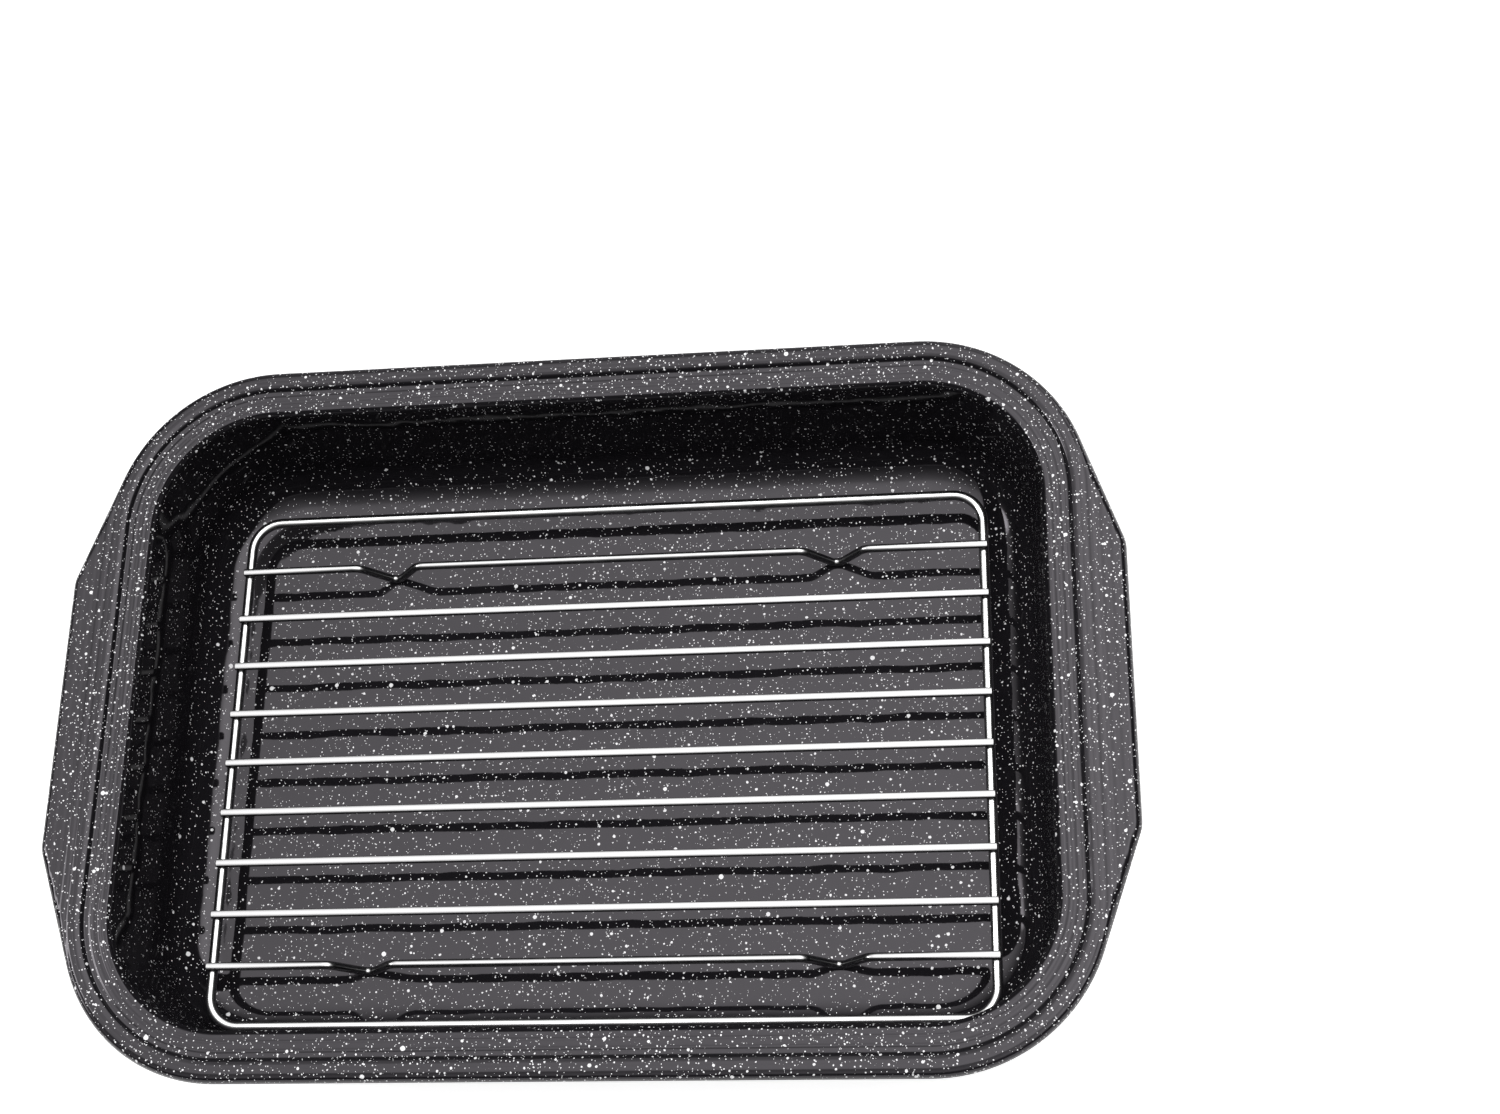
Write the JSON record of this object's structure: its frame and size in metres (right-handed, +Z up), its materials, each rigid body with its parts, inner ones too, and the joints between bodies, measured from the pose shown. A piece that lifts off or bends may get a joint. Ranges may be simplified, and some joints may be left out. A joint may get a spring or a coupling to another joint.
{
  "type": "enamel roasting pan with rack",
  "caption": "Rectangular speckled enamel roasting pan with a stepped rim, a flat wing at each end, and a loose wire rack that stands on its floor.",
  "frame": {"origin": "middle of the pan's flat underside, on the table", "axes": "+Z up, +X along the pan towards one wing, +Y across it towards the far long side"},
  "size_m": [0.4484, 0.307, 0.0705],
  "materials": {
    "enamel": "gloss black vitreous enamel with white speckles",
    "rack_wire": "bright plated wire"
  },
  "bodies": {
    "root": {"pan": "enamel", "rack_frame": "rack_wire", "near_foot_wire": "rack_wire", "far_foot_wire": "rack_wire", "cross_wire_1": "rack_wire", "cross_wire_2": "rack_wire", "cross_wire_3": "rack_wire", "cross_wire_4": "rack_wire", "cross_wire_5": "rack_wire", "cross_wire_6": "rack_wire", "cross_wire_7": "rack_wire"}
  },
  "joints": []
}
